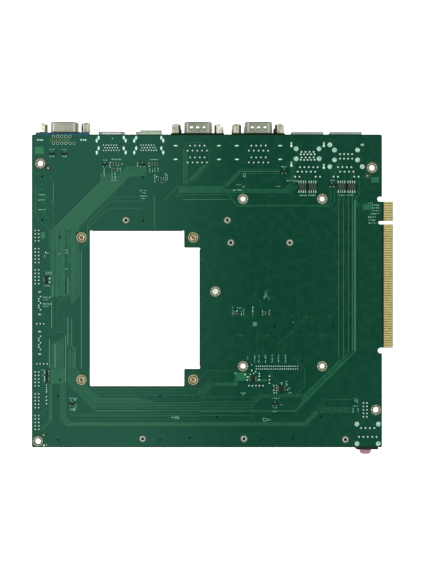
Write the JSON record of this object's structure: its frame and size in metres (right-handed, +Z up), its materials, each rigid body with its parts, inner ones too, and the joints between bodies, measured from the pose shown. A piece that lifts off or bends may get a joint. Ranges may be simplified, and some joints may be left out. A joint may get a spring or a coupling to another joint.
{
  "type": "carrier evaluation board",
  "caption": "Green carrier board with a rectangular window, an edge contact tab, a row of tall interface sockets along one edge and soldered pin ends on its upper face.",
  "frame": {"origin": "middle of the footprint, on the surface that the board lies on, solder side up", "axes": "+X along the board's long side towards the contact tab, +Y towards the row of interface sockets, +Z up out of the solder side"},
  "size_m": [0.2084, 0.1918, 0.0318],
  "materials": {
    "green_board": "fibreglass sheet under dark green solder mask",
    "gold_contacts": "thin gold plate",
    "brass_standoffs": "turned brass, plated",
    "steel_standoffs": "tinned steel",
    "blue_plastic": "moulded plastic",
    "pink_plastic": "moulded plastic",
    "lime_plastic": "moulded plastic",
    "nickel_shells": "nickel-plated sheet steel",
    "steel_screws": "nickel-plated steel",
    "solder": "bright solder",
    "tinned_tabs": "tinned",
    "gold_pins": "gold-flashed pins",
    "chip_black": "moulded epoxy",
    "chip_ceramic": "small ceramic parts with tinned ends",
    "black_plastic": "moulded plastic",
    "ivory_plastic": "moulded plastic"
  },
  "bodies": {
    "root": {"audio_barrel_green": "lime_plastic", "audio_barrel_pink": "pink_plastic", "audio_housing": "black_plastic", "audio_joints": "solder", "audio_pegs": "tinned_tabs", "board": "green_board", "board_locks": "tinned_tabs", "card_socket_1": "black_plastic", "card_socket_2": "black_plastic", "card_socket_3": "black_plastic", "card_socket_4": "black_plastic", "card_socket_5": "black_plastic", "card_socket_6": "black_plastic", "card_socket_7": "black_plastic", "card_standoffs": "steel_standoffs", "com_joints": "solder", "com_stack_1_housing": "black_plastic", "com_stack_1_jackscrews": "steel_screws", "com_stack_1_pins": "gold_pins", "com_stack_1_shells": "nickel_shells", "com_stack_2_housing": "black_plastic", "com_stack_2_jackscrews": "steel_screws", "com_stack_2_pins": "gold_pins", "com_stack_2_shells": "nickel_shells", "drive_socket_1": "black_plastic", "drive_socket_2": "black_plastic", "drive_socket_joints": "solder", "drive_socket_mounts": "tinned_tabs", "driver_chips": "chip_black", "driver_legs": "tinned_tabs", "fine_header": "ivory_plastic", "fine_header_joints": "solder", "hdmi_1_insert": "black_plastic", "hdmi_1_shell": "nickel_shells", "hdmi_2_insert": "black_plastic", "hdmi_2_shell": "nickel_shells", "hdmi_joints": "solder", "hdmi_stakes": "tinned_tabs", "header_bases": "black_plastic", "header_joints": "solder", "header_pins": "gold_pins", "lan_usb_1_can": "nickel_shells", "lan_usb_1_insert": "black_plastic", "lan_usb_2_can": "nickel_shells", "lan_usb_2_insert": "black_plastic", "lan_usb_joints": "solder", "lan_usb_tabs": "tinned_tabs", "module_socket": "black_plastic", "module_standoffs": "brass_standoffs", "resistors_and_capacitors": "chip_ceramic", "small_chips": "chip_black", "tab_contacts_component_side": "gold_contacts", "tab_contacts_solder_side": "gold_contacts", "transistors": "chip_black", "vga_housing": "blue_plastic", "vga_jackscrews": "steel_screws", "vga_joints": "solder", "vga_shell": "nickel_shells"}
  },
  "joints": []
}
